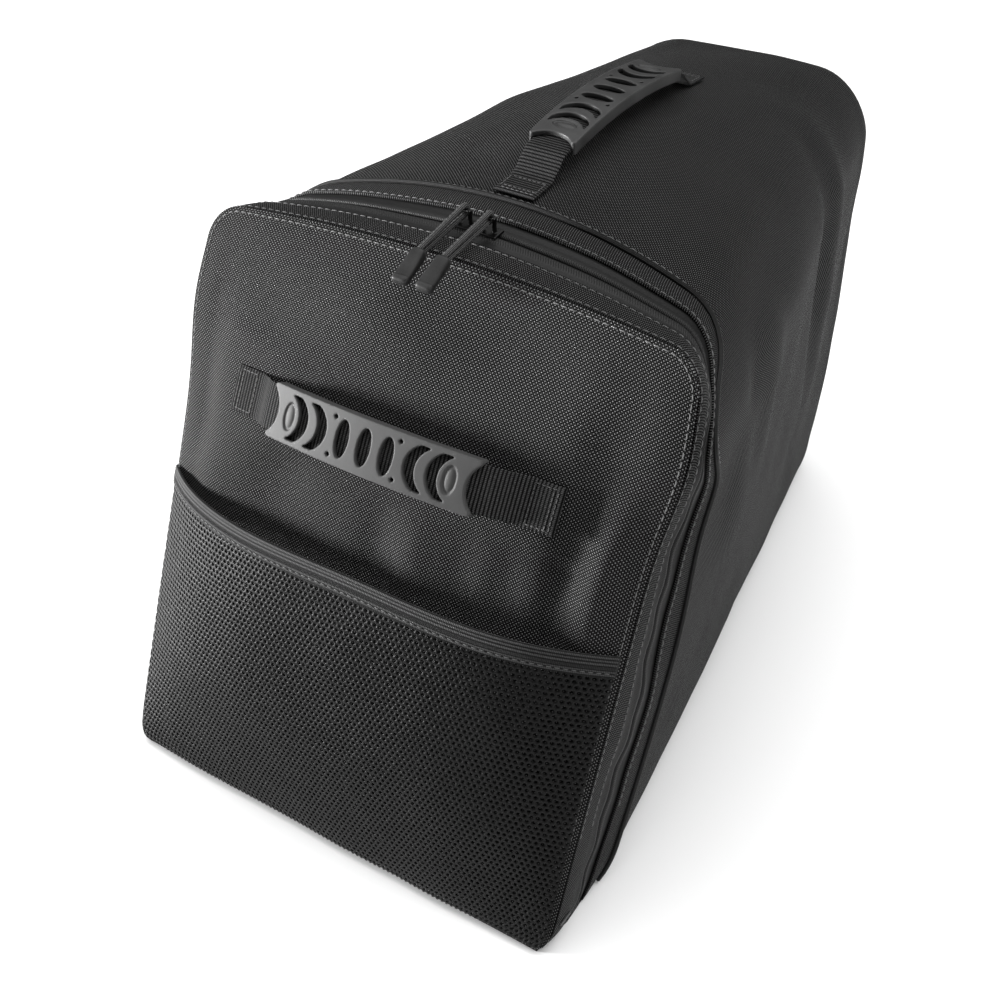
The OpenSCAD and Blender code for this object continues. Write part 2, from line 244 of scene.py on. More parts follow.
def inward(p):
    """+1 when a grid's own normals point into the bag, -1 when they point out."""
    i, j = p.shape[0] // 2, p.shape[1] // 2
    return 1.0 if np.dot(normals_of(p)[i, j], np.array(BODY_MID) - p[i, j]) > 0 else -1.0


def around(count):
    """Angles of count points round a full turn."""
    return np.linspace(0, 2 * np.pi, count, endpoint=False)


def squarish(a, half_x, half_y, power_x, power_y):
    """Rounded rectangle at angles a: the smaller the powers, the squarer it is."""
    x = half_x * np.sign(np.cos(a)) * np.abs(np.cos(a)) ** power_x
    y = half_y * np.sign(np.sin(a)) * np.abs(np.sin(a)) ** power_y
    return x, y


# ---------------------------------------------------------------- mesh makers
def lengths(p, axis):
    """Distance run along an axis of a grid of points."""
    d = np.linalg.norm(np.diff(p, axis=axis), axis=-1)
    return np.concatenate([np.zeros_like(np.take(d, [0], axis)), np.cumsum(d, axis)], axis)


def linked(name, data):
    obj = bpy.data.objects.new(name, data)
    bpy.context.scene.collection.objects.link(obj)
    return obj


def new_object(name, verts, faces, uvs=None):
    mesh = bpy.data.meshes.new(name)
    mesh.from_pydata((np.asarray(verts) * MM).tolist(), [], faces)
    if uvs is not None:
        layer = mesh.uv_layers.new(name="UVMap")
        index = np.zeros(len(mesh.loops), np.int32)
        mesh.loops.foreach_get("vertex_index", index)
        layer.data.foreach_set("uv", (np.asarray(uvs) * MM)[index].astype(np.float32).ravel())
    mesh.polygons.foreach_set("use_smooth", [True] * len(mesh.polygons))
    mesh.validate()
    return linked(name, mesh)


def finish_piece(obj, mat, body, replaces=()):
    obj.data.materials.clear()
    obj.data.materials.append(mat)
    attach(obj, body)
    if replaces:
        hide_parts(*replaces)


def edit_mesh(obj, work):
    """Run work(bm) on the object's mesh."""
    bm = bmesh.new()
    bm.from_mesh(obj.data)
    work(bm)
    bm.to_mesh(obj.data)
    bm.free()


def fix_normals(obj):
    edit_mesh(obj, lambda bm: bmesh.ops.recalc_face_normals(bm, faces=bm.faces))


def sheet_object(name, p, thick, uv=None):
    """Closed cloth of one thickness: p is the outer grid, and the cloth lies thick mm inside it."""
    m, n = p.shape[:2]
    inner = p + normals_of(p) * thick
    if uv is None:
        uv = np.stack([lengths(p, 1), lengths(p, 0)], -1)
    o = m * n
    i, j = np.meshgrid(np.arange(m - 1), np.arange(n - 1), indexing="ij")
    a = (i * n + j).ravel()
    outer = np.stack([a, a + n, a + n + 1, a + 1], 1)
    faces = [outer, outer[:, ::-1] + o]
    j = np.arange(n - 1)
    i = np.arange(m - 1) * n
    faces.append(np.stack([j, j + 1, o + j + 1, o + j], 1))
    b = o - n + j
    faces.append(np.stack([b + 1, b, o + b, o + b + 1], 1))
    faces.append(np.stack([i + n, i, o + i, o + i + n], 1))
    c = i + n - 1
    faces.append(np.stack([c, c + n, o + c + n, o + c], 1))
    verts = np.concatenate([p.reshape(-1, 3), inner.reshape(-1, 3)])
    uvs = np.concatenate([uv.reshape(-1, 2)] * 2)
    obj = new_object(name, verts, np.concatenate(faces).tolist(), uvs)
    fix_normals(obj)
    return obj


def sweep(name, rings):
    """Closed tube through rings of points, shape (rows, around, 3)."""
    m, n = rings.shape[:2]
    i, j = np.meshgrid(np.arange(m - 1), np.arange(n), indexing="ij")
    a, b = (i * n + j).ravel(), (i * n + (j + 1) % n).ravel()
    faces = np.stack([a, b, b + n, a + n], 1).tolist()
    faces += [list(range(n - 1, -1, -1)), [(m - 1) * n + k for k in range(n)]]
    centre = rings.mean(1)
    along = lengths(centre[None], 1)[0]
    girth = np.linalg.norm(rings[0] - np.roll(rings[0], 1, 0), axis=-1).cumsum()
    uv = np.stack(np.meshgrid(along, girth, indexing="ij"), -1)
    obj = new_object(name, rings.reshape(-1, 3), faces, uv.reshape(-1, 2))
    fix_normals(obj)
    return obj


def frames(path, hint):
    """Two directions across a path, from a direction that the path stays clear of."""
    t = np.gradient(path, axis=0)
    t /= np.linalg.norm(t, axis=1, keepdims=True)
    e = np.cross(t, np.broadcast_to(np.asarray(hint, float), t.shape))
    e /= np.linalg.norm(e, axis=1, keepdims=True)
    return e, np.cross(e, t)


def tube(name, path, radius, sides, hint):
    """Round tube: radius may be a number or one value per ring and side."""
    e, f = frames(path, hint)
    w = around(sides)
    r = np.broadcast_to(np.asarray(radius, float), (len(path), sides))[..., None]
    across = e[:, None] * np.cos(w)[None, :, None] + f[:, None] * np.sin(w)[None, :, None]
    return sweep(name, path[:, None] + r * across)


def resample(path, step):
    """The same path with points about step mm apart."""
    s = lengths(path[None], 1)[0]
    at = np.linspace(0, s[-1], max(2, int(round(s[-1] / step)) + 1))
    return np.stack([np.interp(at, s, path[:, k]) for k in range(3)], 1)


# One stitch is a short spindle that dips at both ends: place along it, thickness there
STITCH = ((-0.5, 0.25), (-0.36, 0.8), (0.0, 1.0), (0.36, 0.8), (0.5, 0.25))
STITCH_SIDES = 6


def stitches(name, paths, pitch=4.6, size=3.5, radius=0.34, dip=0.35, hint=(0, 1, 0)):
    """Rows of separate stitches along paths that run just above the cloth."""
    verts, faces, uvs = [], [], []
    sides = STITCH_SIDES
    w = around(sides)
    for path in paths:
        total = lengths(path[None], 1)[0][-1]
        fine = resample(path, pitch / 8)
        e, f = frames(fine, hint)
        s = np.linspace(0, total, len(fine))
        for k in range(int(total / pitch)):
            mid = (k + 0.5) * pitch
            start = len(verts)
            for place, thick in STITCH:
                at = mid + place * size
                c = np.array([np.interp(at, s, fine[:, q]) for q in range(3)])
                i = min(len(fine) - 1, int(at / total * (len(fine) - 1)))
                c = c - e[i] * dip * (2 * place) ** 2
                across = e[i] * np.cos(w)[:, None] + f[i] * np.sin(w)[:, None]
                verts.extend((c + radius * thick * across).tolist())
                uvs.extend([(at, q) for q in range(sides)])
            for row in range(len(STITCH) - 1):
                for q in range(sides):
                    a = start + row * sides + q
                    b = start + row * sides + (q + 1) % sides
                    faces.append([a, b, b + sides, a + sides])
            faces.append([start + q for q in range(sides - 1, -1, -1)])
            faces.append([start + (len(STITCH) - 1) * sides + q for q in range(sides)])
    obj = new_object(name, verts, faces, uvs)
    fix_normals(obj)
    return obj


# ---------------------------------------------------------------- materials
class Nodes:
    """A short way to write a material's node tree."""

    def __init__(self, name):
        self.mat = bpy.data.materials.new(name)
        self.mat.use_nodes = True
        self.tree = self.mat.node_tree
        self.bsdf = self.tree.nodes["Principled BSDF"]

    def add(self, kind, **values):
        node = self.tree.nodes.new(kind)
        for key, value in values.items():
            setattr(node, key, value)
        return node

    def link(self, a, b):
        self.tree.links.new(a, b)

    def math(self, op, a, b=None, clamp=False):
        node = self.add("ShaderNodeMath", operation=op, use_clamp=clamp)
        for k, value in enumerate((a, b)):
            if value is None:
                continue
            if isinstance(value, (int, float)):
                node.inputs[k].default_value = value
            else:
                self.link(value, node.inputs[k])
        return node.outputs[0]

    def scaled(self, value, factor, offset):
        return self.math("ADD", self.math("MULTIPLY", value, factor), offset)

    def ribs(self, along, pitch):
        """Rounded ribs, pitch mm apart."""
        turns = self.math("MULTIPLY", along, math.pi / (pitch * MM))
        return self.math("ABSOLUTE", self.math("SINE", turns))

    def bright_edges(self, start, gain):
        """Grows from 0 on edges that stand out: start is the pointiness where it begins."""
        edge = self.add("ShaderNodeNewGeometry").outputs["Pointiness"]
        return self.math("MULTIPLY", self.math("SUBTRACT", edge, start), gain, clamp=True)

    def uv(self):
        sep = self.add("ShaderNodeSeparateXYZ")
        self.link(self.add("ShaderNodeUVMap", uv_map="UVMap").outputs[0], sep.inputs[0])
        return sep.outputs[0], sep.outputs[1]

    def noise(self, scale, detail=3.0, rough=0.5):
        node = self.add("ShaderNodeTexNoise")
        node.inputs["Scale"].default_value = scale
        node.inputs["Detail"].default_value = detail
        node.inputs["Roughness"].default_value = rough
        self.link(self.add("ShaderNodeTexCoord").outputs["Object"], node.inputs["Vector"])
        return node.outputs["Fac"]

    def ramp(self, fac, low, high, start=0.0, end=1.0):
        node = self.add("ShaderNodeValToRGB")
        node.color_ramp.elements[0].position = start
        node.color_ramp.elements[1].position = end
        node.color_ramp.elements[0].color = (*low, 1)
        node.color_ramp.elements[1].color = (*high, 1)
        self.link(fac, node.inputs[0])
        return node.outputs[0]

    def bump(self, height, distance, strength=1.0):
        node = self.add("ShaderNodeBump")
        node.inputs["Distance"].default_value = distance
        node.inputs["Strength"].default_value = strength
        self.link(height, node.inputs["Height"])
        self.link(node.outputs[0], self.bsdf.inputs["Normal"])

    def colour(self, socket):
        self.link(socket, self.bsdf.inputs["Base Color"])

    def roughness(self, fac, low, high):
        node = self.add("ShaderNodeMapRange")
        node.inputs["To Min"].default_value = low
        node.inputs["To Max"].default_value = high
        self.link(fac, node.inputs["Value"])
        self.link(node.outputs[0], self.bsdf.inputs["Roughness"])

    def set(self, **values):
        for key, value in values.items():
            self.bsdf.inputs[key.replace("_", " ")].default_value = value


def grey(v):
    return (v, v, v)


def cloth_material(name, dark, light, pitch=1.0, depth=0.0005, turn=0.0):
    """Plain weave: threads pass over and under each other in a checker. Its colour carries painted
    highlights on the thread crowns and painted shade between the threads.
    """
    n = Nodes(name)
    u, v = n.uv()
    if turn:
        c, s = math.cos(turn), math.sin(turn)
        u, v = (n.math("ADD", n.math("MULTIPLY", u, c), n.math("MULTIPLY", v, s)),
                n.math("SUBTRACT", n.math("MULTIPLY", v, c), n.math("MULTIPLY", u, s)))
    x = n.math("MULTIPLY", u, 1 / (pitch * MM))
    y = n.math("MULTIPLY", v, 1 / (pitch * MM))
    a = n.math("ABSOLUTE", n.math("SINE", n.math("MULTIPLY", x, math.pi)))
    b = n.math("ABSOLUTE", n.math("SINE", n.math("MULTIPLY", y, math.pi)))
    cell = n.math("PINGPONG", n.math("ADD", n.math("FLOOR", x), n.math("FLOOR", y)), 1.0)
    lump = n.math("MULTIPLY", a, b)
    over = n.math("MULTIPLY", lump, n.scaled(cell, 0.72, 0.28))
    patchy = n.noise(9.0, 4.0, 0.6)
    fibre = n.noise(1500.0, 2.0, 0.7)
    tone_and_highlight = n.math("MULTIPLY", over, n.scaled(fibre, 0.9, 0.5))
    tone_and_highlight = n.math("MULTIPLY", tone_and_highlight, n.scaled(patchy, 0.5, 0.75))
    # Lighter thread crowns and near-black gaps in this colour are painted highlight and painted
    # shade; the patchy and fibre noise is the cloth's real uneven tone.
    n.colour(n.ramp(n.math("POWER", tone_and_highlight, 1.9), dark, light, 0.0, 0.75))
    n.roughness(patchy, 0.55, 0.7)
    n.link(n.math("MULTIPLY", over, 0.3), n.bsdf.inputs["Specular IOR Level"])
    n.bump(over, depth)
    return n.mat


BEAD, TAPE_RIB, TAPE_FINE, PLY = 0.9, 1.5, 0.7, 0.6  # pitches in mm
RIB_ZONE = 6.5  # the tape's ribs fade out this far from the slit


def ribbed_material(name, dark, light, pitch, depth, along=True, spec=0.2):
    """Narrow fabric with ribs: along means the ribs follow the length."""
    n = Nodes(name)
    u, v = n.uv()
    across = v if along else u
    other = u if along else v
    height = n.math("MULTIPLY", n.ribs(across, pitch), n.scaled(n.ribs(other, BEAD), 0.6, 0.4))
    fibre = n.noise(1200.0, 2.0, 0.6)
    tone_and_highlight = n.math("MULTIPLY", height, n.scaled(fibre, 0.9, 0.5))
    # Lighter rib crowns and darker grooves in this colour are painted highlight and painted shade;
    # the fibre noise is real uneven tone.
    n.colour(n.ramp(n.math("POWER", tone_and_highlight, 2.0), dark, light, 0.0, 0.8))
    n.roughness(fibre, 0.5, 0.68)
    n.bump(height, depth)
    n.set(Specular_IOR_Level=spec)
    return n.mat


def tape_material():
    """Smooth zip tape, with fine ribs close to the slit."""
    n = Nodes("zip_tape")
    u, v = n.uv()
    near = n.math("SUBTRACT", 1.0, n.math("MULTIPLY", v, 1 / (RIB_ZONE * MM)), clamp=True)
    near = n.math("MINIMUM", n.math("MULTIPLY", near, 3.0), 1.0)
    rib = n.math("MULTIPLY", n.ribs(u, TAPE_RIB), near)
    fibre = n.noise(900.0, 3.0, 0.6)
    height = n.math("ADD", rib, n.math("MULTIPLY", n.ribs(v, TAPE_FINE), 0.12))
    # Near the slit the rib crowns are painted lighter: painted highlight. The fibre noise is the
    # tape's real uneven tone.
    n.colour(n.ramp(n.math("ADD", n.math("MULTIPLY", rib, 0.35), n.math("MULTIPLY", fibre, 0.65)),
                    grey(0.003), grey(0.017), 0.15, 0.9))
    n.roughness(fibre, 0.42, 0.6)
    n.bump(height, 0.00022)
    n.set(Specular_IOR_Level=0.2)
    return n.mat


def moulded_material(name, low, high, rough, grain=1400.0, depth=0.00004, bright_edges=0.0, spec=0.5):
    """Moulded plastic with a fine grain and slightly lighter edges where the surface stands out; on
    the pull tips these lighter edges are a painted highlight.
    """
    n = Nodes(name)
    patch = n.noise(60.0, 4.0, 0.6)
    fine = n.noise(grain, 2.0, 0.6)
    tone_and_highlight = n.math("ADD", n.math("MULTIPLY", patch, 0.75), n.math("MULTIPLY", fine, 0.25))
    if bright_edges:
        tone_and_highlight = n.math("ADD", tone_and_highlight, n.bright_edges(0.5, bright_edges))
    n.colour(n.ramp(tone_and_highlight, low, high, 0.3, 1.0))
    n.roughness(patch, rough - 0.06, rough + 0.08)
    n.bump(fine, depth)
    n.set(Specular_IOR_Level=spec)
    return n.mat


def metal_material():
    n = Nodes("slider_metal")
    patch = n.noise(500.0, 3.0, 0.6)
    tone_and_highlight = n.math("ADD", n.math("MULTIPLY", patch, 0.3), n.bright_edges(0.52, 6.0))
    n.colour(n.ramp(tone_and_highlight, grey(0.004), grey(0.2), 0.25, 1.0))
    n.roughness(patch, 0.22, 0.38)
    n.bump(patch, 0.00002)
    n.set(Metallic=0.75)
    return n.mat


def thread_material(name, low, high):
    n = Nodes(name)
    ply = n.ribs(n.uv()[0], PLY)
    # The ply crowns are painted lighter than the grooves between them: painted highlight and
    # painted shade.
    n.colour(n.ramp(ply, low, high, 0.0, 1.0))
    n.roughness(ply, 0.5, 0.62)
    n.bump(ply, 0.00005)
    n.set(Sheen_Weight=0.2)
    return n.mat


M = {
    "side": cloth_material("side_cloth", grey(0.001), grey(0.12)),
    "door": cloth_material("door_cloth", grey(0.001), grey(0.155)),
    "strip": cloth_material("strip_cloth", grey(0.001), grey(0.12), 0.95, 0.0004, 0.785),
    "lining": cloth_material("base_cloth", grey(0.004), grey(0.03), 1.4),
    "mesh": moulded_material("mesh_yarn", grey(0.0005), grey(0.007), 0.4, 1300.0, 0.0003,
                             spec=0.11),
    "trim": ribbed_material("binding_tape", grey(0.0005), grey(0.06), 1.9, 0.0004, spec=0.1),
    "piping": ribbed_material("piping_cloth", grey(0.003), grey(0.011), 1.2, 0.0002),
    "webbing": ribbed_material("handle_webbing", grey(0.0003), grey(0.06), 2.0, 0.0004,
                               along=False, spec=0.03),
    "tape": tape_material(),
    "coil": moulded_material("zip_coil", grey(0.012), grey(0.035), 0.4),
    "grip": moulded_material("grip_rubber", grey(0.034), grey(0.056), 0.6, 1600.0, 0.00003,
                             1.2, 0.25),
    "top_grip": moulded_material("top_grip_rubber", grey(0.01), grey(0.05), 0.48, 1600.0,
                                 0.00003, 4.0, 0.3),
    # The pull tips' strongly lighter edges are a painted highlight along the lip.
    "tip": moulded_material("tip_plastic", grey(0.003), grey(0.035), 0.4, 1500.0, 0.00003,
                            9.0, 0.14),
    "metal": metal_material(),
    "cord": ribbed_material("braided_cord", grey(0.002), grey(0.13), 0.9, 0.0001, spec=0.1),
    "thread": thread_material("thread", grey(0.04), grey(0.1)),
    "dark_thread": thread_material("dark_thread", grey(0.015), grey(0.045)),
}


# ---------------------------------------------------------------- the bag's cloth
# Dents and folds: centre x, y, z, radii x, y, z and height outwards
SHELL_FOLDS = (
    (135, -62, 262, 32, 16, 22, -4.5),
    (142, -24, 238, 32, 15, 44, 3.0),
    (126, -16, 292, 26, 34, 13, -4.0),
    (145, -70, 190, 30, 20, 60, 2.5),
    (118, 120, 215, 60, 16, 95, -5.5),
    (112, 146, 235, 60, 13, 90, 2.5),
    (140, -20, 120, 50, 70, 60, 2.5),
    (-118, 128, 200, 60, 18, 90, -4.0),
    (-135, 10, 110, 50, 60, 70, 2.5),
    (70, 60, 330, 34, 60, 60, -2.2),
    (-62, 90, 335, 34, 50, 60, -2.0),
    (40, 180, 325, 50, 26, 60, -2.5),
    (108, -30, 315, 26, 60, 60, 2.0),
    (120, 195, 120, 60, 30, 60, -2.0),
)
# The same on the front: centre x, z, radii x, z and height outwards
DOOR_FOLDS = (
    (108, 202, 12, 50, -8.0),
    (127, 200, 10, 52, 4.5),
    (82, 186, 13, 24, -5.5),
    (58, 182, 10, 24, -3.2),
    (30, 179, 9, 24, 2.8),
    (6, 183, 10, 20, -2.8),
    (-62, 188, 20, 20, -3.6),
    (-96, 268, 34, 22, -3.2),
    (-20, 275, 36, 18, 2.4),
    (46, 282, 36, 16, -2.6),
    (120, 262, 16, 34, -3.4),
    (-126, 215, 12, 50, -3.2),
    (-112, 176, 16, 16, 2.6),
    (0, 60, 60, 40, -3.0),
)


def top_point():
    """Where the top handle's middle stands on the cloth."""
    _, h, c, _, _ = main_shape(TOP_T)
    return 0.0, depth_at(h + c, TOP_T), h + c


POINT_TOP = top_point()


def shell_rise(p):
    """How far the body cloth stands off its smooth shape."""
    rise = 3.2 * smooth_noise(p, 95, 1) + 1.2 * smooth_noise(p, 40, 2)
    for x, y, z, rx, ry, rz, h in SHELL_FOLDS:
        q = ((p[..., 0] - x) / rx) ** 2 + ((p[..., 1] - y) / ry) ** 2 + ((p[..., 2] - z) / rz) ** 2
        rise = rise + h * np.exp(-q)
    # It fades out at the piping, the rear, the floor and under the top handle
    front = np.clip((p[..., 1] - depth_at(p[..., 2], 0)) / 45, 0, 1)
    back = np.clip((MID_Y - p[..., 1]) / 30, 0, 1)
    low = np.clip(p[..., 2] / 40, 0, 1)
    foot = np.maximum(np.abs(p[..., 0]) / 45, np.abs(p[..., 1] - POINT_TOP[1]) / 125)
    clear = np.clip((foot - 0.6) / 0.6, 0, 1)
    clear = np.where(p[..., 2] > 250, clear, 1)
    return rise * front * back * low * clear


def shell_grid():
    ts = [mix(0.0002, 0.98, k / (MAIN_N - 1)) for k in range(MAIN_N)]
    rows = [main_ring(t) for t in ts] + [end_ring(a) for a in np.linspace(0, 90, END_N)]
    return np.array(rows)


def make_body_cloth():
    p = shell_grid()
    p = p - normals_of(p) * inward(p) * shell_rise(p)[..., None]
    # The weave runs square to the top's middle line, and straight over the rear edge
    across = lengths(p, 1)
    across = across - across[:, across.shape[1] // 2][:, None]
    across[-END_N:] = across[-END_N - 1]
    uv = np.stack([across, lengths(p, 0)], -1)
    obj = sheet_object("body_cloth", p, WALL * inward(p), uv)
    finish_piece(obj, M["side"], "body", ["body_shell"])


def make_rear_cloth():
    w, h, c, r, b = main_shape(1)
    x, z, _, _ = arch(w - REAR_R, h - REAR_R, c, r - REAR_R, b)
    edge = np.stack([x, z], 1)
    half = len(x) // 2 + 1
    left, right = edge[:half, None], edge[::-1][:half, None]
    g = left + (right - left) * np.linspace(0, 1, 31)[:, None]
    side = np.clip(1 - (g[..., 0] / np.abs(x).max()) ** 4, 0, 1)
    rise = 3.0 * side * np.sin(np.pi * np.clip(g[..., 1] / z.max(), 0, 1)) ** 0.5
    p = np.stack([g[..., 0] * 0.993, np.full(g.shape[:2], MID_Y - 0.3), g[..., 1]], -1)
    p[..., 1] += rise + 1.2 * smooth_noise(p, 60, 5) * side
    obj = sheet_object("rear_cloth", p, 1.8 * inward(p))
    finish_piece(obj, M["side"], "body", ["rear_panel"])


def make_base_cloth():
    """Bottom panel: a flat base with a rolled edge."""
    top, low = 2.75, 0.05
    us = np.linspace(0.8, PIPING_U, 10)
    ts = np.linspace(0.04, 0.97, 30)
    shapes = [main_shape(t) for t in ts]
    a = np.radians(np.linspace(0, 90, 8))
    strips = [HALF_W + SPREAD * u - 2 - 3.2 * u / PIPING_U - toe(FLOOR_Z, u) for u in us]
    half = np.concatenate([strips, [w - 1.9 - 0.65 * bow for w, _, _, _, bow in shapes],
                           END_W - 4.5 - REAR_R * (1 - np.cos(a))])
    y = np.concatenate([us - MID_Y, depth_at(0, ts),
                        BASE_L - REAR_R + (REAR_R - 0.6) * np.sin(a) - MID_Y])
    s = np.linspace(-1, 1, 61)
    z = np.full((len(y), len(s)), top)
    p = np.stack([half[:, None] * s[None], np.repeat(y[:, None], len(s), 1), z], -1)
    obj = sheet_object("base_cloth", p, 1.0)
    below = p.copy()
    below[..., 2] = low
    below = below.reshape(-1, 3) * MM
    for k, v in enumerate(below):
        obj.data.vertices[len(below) + k].co = v
    fix_normals(obj)
    finish_piece(obj, M["lining"], "body", ["bottom_panel"])


def make_hinge_cloth():
    """Fold of cloth between the base and the door."""
    # Y and Z along the fold, from the base to the door
    path = np.array([[-251.0, 2.9], [-254.5, 2.9], [-256.6, 1.6],
                     [-256.3, 3.0], [-255.7, 4.4], [-254.6, 7.2]])
    fine = resample(np.stack([0 * path[:, 0], path[:, 0], path[:, 1]], 1), 0.7)
    xs = np.linspace(-(HALF_W - 8), HALF_W - 8, 80)
    p = np.repeat(fine[:, None], len(xs), 1)
    p[..., 0] = xs[None]
    obj = sheet_object("hinge_cloth", p, 0.5)
    obj.data.materials.append(M["lining"])
    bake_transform(obj)


def make_strips():
    for body, u0, u1, lift, slot in (("door", 0.0, STRIP_W, 0.0, "door_cloth"),
                                     ("body", BODY_STRIP_U, PIPING_U - 0.1, -0.4, "cloth")):
        # The strip bows out a little between its seams, and ends lift mm off the cloth
        p = np.array([strip_ring(mix(u0, u1, k), mix(0.0, lift, k) + 0.5 * math.sin(math.pi * k))
                      for k in np.linspace(0, 1, 11)])
        obj = sheet_object(body + "_strip_cloth", p, 1.5 * inward(p))
        finish_piece(obj, M["strip"], body, [body + "_strip"])


def tape_grid(u_far, u_slit):
    """From under the strip to the slit, where the tape turns down round the coil.

    V of its UV map is the distance from the slit.
    """
    rows, away = [], []
    for k in np.linspace(0, 1, 14):
        u = mix(u_far, u_slit, k)
        gap = abs(u_slit - u)
        lift = -TAPE_IN + 0.9 * math.exp(-(gap - 2.0) ** 2 / 5) - 1.1 * math.exp(-gap ** 2 / 0.5)
        rows.append(strip_ring(u, lift))
        away.append(gap)
    p = np.array(rows)
    uv = np.stack([lengths(p, 1), np.repeat(np.array(away)[:, None], p.shape[1], 1)], -1)
    return p, uv


# The coil: pitch of its turns, step along it, depth under the tape, distance from the slit
COIL_PITCH, COIL_STEP, COIL_IN, COIL_U = 1.5, 0.42, 1.75, 1.5


def make_zip():
    for body, outer, side in (("door", STRIP_W - 6, -1), ("body", BODY_STRIP_U + 6, 1)):
        slit = ZIP_U + side * 0.45
        p, uv = tape_grid(outer, slit)
        obj = sheet_object(body + "_tape", p, 0.7 * inward(p), uv)
        finish_piece(obj, M["tape"], body, [body + "_zip_tape"])
        path = resample(strip_ring(slit + side * COIL_U, -TAPE_IN - COIL_IN), COIL_STEP)
        turn = np.arange(len(path)) * 2 * np.pi * COIL_STEP / COIL_PITCH
        ridges = 0.85 + 0.22 * np.maximum(0, np.sin(turn))[:, None] * np.ones((1, 8))
        obj = tube(body + "_coil", path, ridges, 8, (0, 1, 0))
        finish_piece(obj, M["coil"], body, [body + "_zip_coil"])


def make_piping():
    path = resample(strip_ring(PIPING_U, 0.6), 2.0)
    obj = tube("piping_cord", path, 1.45, 14, (0, 1, 0))
    finish_piece(obj, M["piping"], "body", ["body_piping"])


# ---------------------------------------------------------------- the door
def door_rise(x, z):
    """How far the front cloth stands off its smooth shape: not at all at its edge and handle."""
    p = np.stack(np.broadcast_arrays(x, z, 0.0 * x), -1)
    rise = 2.2 * smooth_noise(p, 74, 3) + 0.9 * smooth_noise(p, 28, 4)
    for fx, fz, rx, rz, h in DOOR_FOLDS:
        rise = rise + h * np.exp(-((x - fx) / rx) ** 2 - ((z - fz) / rz) ** 2)
    edge = np.clip((HALF_W - np.abs(x)) / 18, 0, 1) * np.clip(z / 30, 0, 1)
    edge = edge * np.clip((FRONT_H - z) / 18, 0, 1)
    near = np.maximum(np.abs(x) / 106, np.abs(z - HANDLE_Z) / 25)
    return rise * edge * np.clip((near - 0.75) / 0.4, 0, 1)


def panel_points(x, z, n):
    """Points n mm outside the front panel's inner face."""
    return front_pt(tuck(x, z) * flare(z), crowned(x, z, CROWN), bulge(x, z) + n + door_rise(x, z))


def make_door_cloth():
    corner = FRONT_H - CORNER_R
    zs = np.concatenate([np.linspace(FLOOR_Z, corner, 84),
                         corner + CORNER_R * np.sin(np.radians(np.linspace(5, 90, 18)))])
    s = np.sin(np.pi / 2 * np.linspace(-1, 1, 97))
    x = outline(zs)[:, None] * s[None]
    z = np.repeat(zs[:, None], len(s), 1)
    p = panel_points(x, z, WALL)
    obj = sheet_object("door_cloth", p, 2.0 * inward(p), np.stack([x, z / math.cos(LEAN)], -1))
    finish_piece(obj, M["door"], "door", ["front_panel"])


# The net: distance between holes, side of a cell, and the hole's share of its cell
NET_PITCH, NET_SIDE, NET_HOLE = 3.1, 1.85, 0.6
WELD = 0.02 * MM


def make_mesh_pocket():
    """Honeycomb net: six quads round each hole."""
    half, top, low = HALF_W - 2.0, POCKET_H + 2, 4.5
    verts, index, faces = [], {}, []
    corners = [(0, NET_SIDE), (NET_PITCH / 2, NET_SIDE / 2), (NET_PITCH / 2, -NET_SIDE / 2),
               (0, -NET_SIDE), (-NET_PITCH / 2, -NET_SIDE / 2), (-NET_PITCH / 2, NET_SIDE / 2)]

    def inside(x, z):
        return min(max(x, -half), half), min(max(z, low), top)

    def shared(x, z):
        """Index of a corner that neighbouring cells have in common."""
        x, z = inside(x, z)
        key = (round(x, 2), round(z, 2))
        if key not in index:
            index[key] = len(verts)
            verts.append((x, z))
        return index[key]

    for r in range(int((top - low) / (1.5 * NET_SIDE)) + 2):
        for c in range(int(half * 2 / NET_PITCH) + 2):
            cx = -half + (c + 0.5 * (r % 2)) * NET_PITCH
            cz = low + r * 1.5 * NET_SIDE
            if abs(cx) > half + NET_PITCH / 2 or cz > top + NET_SIDE:
                continue
            ring = [shared(cx + dx, cz + dz) for dx, dz in corners]
            rim = []
            for dx, dz in corners:
                rim.append(len(verts))
                verts.append(inside(cx + dx * NET_HOLE, cz + dz * NET_HOLE * 0.9))
            for k in range(6):
                q = (k + 1) % 6
                face = [ring[k], ring[q], rim[q], rim[k]]
                if len(set(face)) == 4:
                    faces.append(face)
    v = np.array(verts)
    sag = 1.3 * smooth_noise(np.stack([v[:, 0], v[:, 1], 0 * v[:, 0]], 1), 42, 6)
    sag = sag * np.clip((half - np.abs(v[:, 0])) / 20, 0, 1)
    x = tuck(v[:, 0], v[:, 1]) * (1 - toe(v[:, 1]) / HALF_W)
    p = front_pt(x, v[:, 1], pocket_out(v[:, 0], v[:, 1]) + 1.2 + sag)
    obj = new_object("mesh_net", p, faces, v)

    def weld(bm):
        bmesh.ops.remove_doubles(bm, verts=bm.verts, dist=WELD)
        bmesh.ops.dissolve_degenerate(bm, edges=bm.edges, dist=WELD)
        bmesh.ops.recalc_face_normals(bm, faces=bm.faces)

    edit_mesh(obj, weld)
    thick = obj.modifiers.new("thickness", "SOLIDIFY")
    thick.thickness = 0.55 * MM
    thick.offset = 0
    finish_piece(obj, M["mesh"], "door", ["mesh_pocket"])


